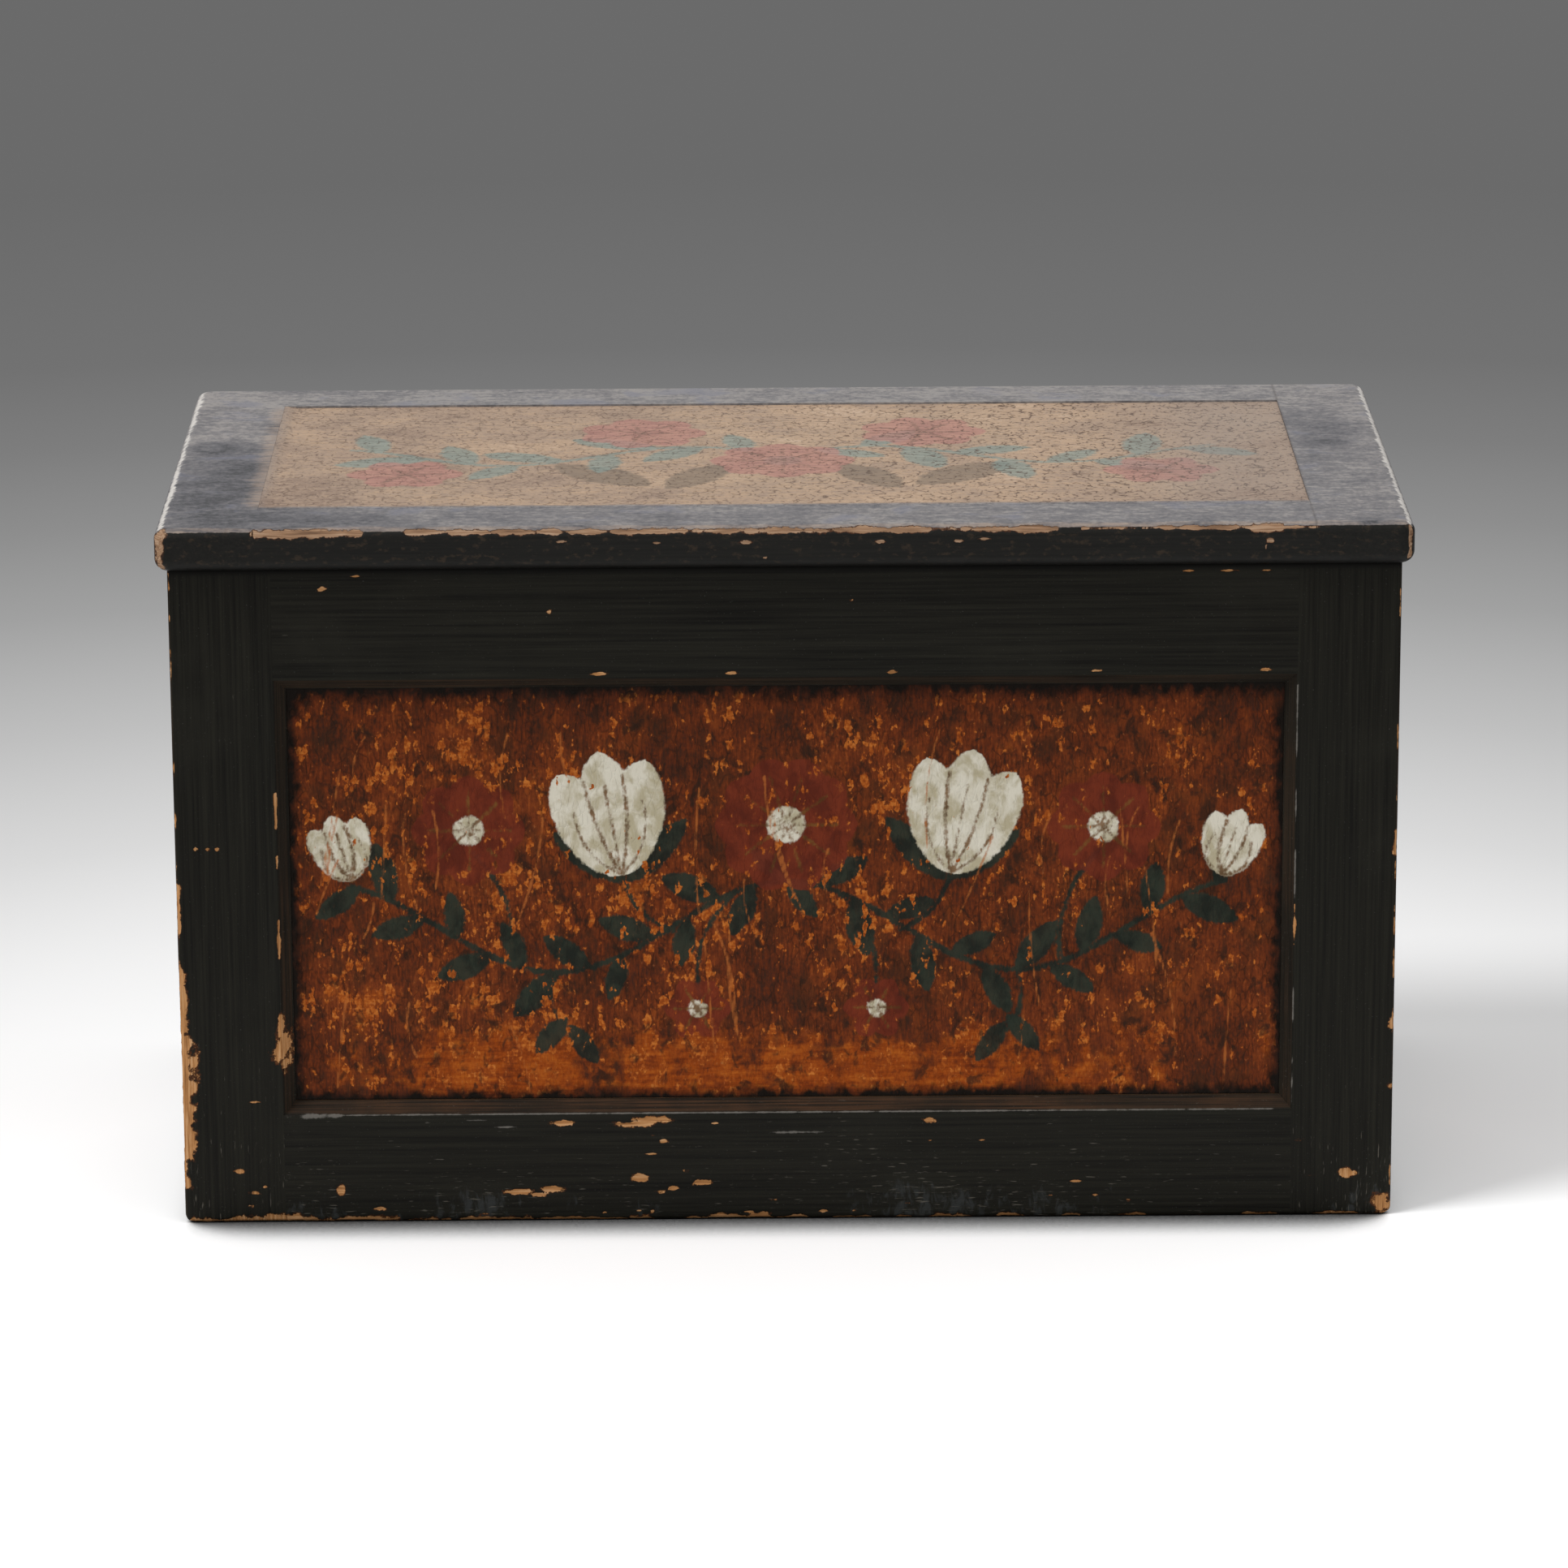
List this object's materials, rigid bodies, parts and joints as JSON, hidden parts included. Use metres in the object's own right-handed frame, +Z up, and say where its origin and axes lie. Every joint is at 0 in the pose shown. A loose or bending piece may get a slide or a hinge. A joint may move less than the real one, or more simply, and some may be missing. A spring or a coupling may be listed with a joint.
{
  "type": "wooden trunk",
  "caption": "Small panelled wooden trunk with a framed lid on butt hinges, painted black with a varnished, folk-painted front panel.",
  "frame": {"origin": "on the ground, under the middle of the trunk's box", "axes": "+X along the trunk's length to the right as seen from the front, +Y from front to back, +Z up"},
  "size_m": [0.635, 0.322, 0.37],
  "materials": {
    "black_paint": "old black paint, satin, chipped to bare wood on the arrises",
    "panel_varnish": "cracked red-brown varnish over wood, painted with a garland",
    "lid_paint": "hazed grey-blue over black paint, worn on the edges",
    "lid_panel_paint": "crackled beige paint with faded flowers",
    "bare_wood": "unpainted aged softwood",
    "hinge_iron": "dark iron with a little rust",
    "steel": "dull steel"
  },
  "bodies": {
    "carcass": {"front_left_stile": "black_paint", "front_right_stile": "black_paint", "front_top_rail": "black_paint", "front_bottom_rail": "black_paint", "front_panel": "panel_varnish", "back_left_stile": "black_paint", "back_right_stile": "black_paint", "back_top_rail": "black_paint", "back_bottom_rail": "black_paint", "back_panel": "black_paint", "left_end_front_stile": "black_paint", "left_end_back_stile": "black_paint", "left_end_top_rail": "black_paint", "left_end_bottom_rail": "black_paint", "left_end_panel": "black_paint", "right_end_front_stile": "black_paint", "right_end_back_stile": "black_paint", "right_end_top_rail": "black_paint", "right_end_bottom_rail": "black_paint", "right_end_panel": "black_paint", "floor_board_front": "bare_wood", "floor_board_middle": "bare_wood", "floor_board_back": "bare_wood", "floor_cleat_front": "bare_wood", "floor_cleat_back": "bare_wood", "floor_cleat_left": "bare_wood", "floor_cleat_right": "bare_wood", "floor_nails": "steel", "cleat_nails": "steel", "left_hinge_wall_leaf": "hinge_iron", "left_hinge_pin": "steel", "right_hinge_wall_leaf": "hinge_iron", "right_hinge_pin": "steel", "hinge_wall_screws": "steel"},
    "lid": {"lid_left_stile": "lid_paint", "lid_right_stile": "lid_paint", "lid_front_rail": "lid_paint", "lid_back_rail": "lid_paint", "lid_panel": "lid_panel_paint", "left_hinge_lid_leaf": "hinge_iron", "right_hinge_lid_leaf": "hinge_iron", "hinge_lid_screws": "steel"}
  },
  "joints": [
    {"name": "lid_hinge", "type": "hinge", "parent": "carcass", "child": "lid", "pos_m": [0, 0.1545, 0.348], "axis": [-1, 0, 0], "range_deg": [0, 105]}
  ]
}
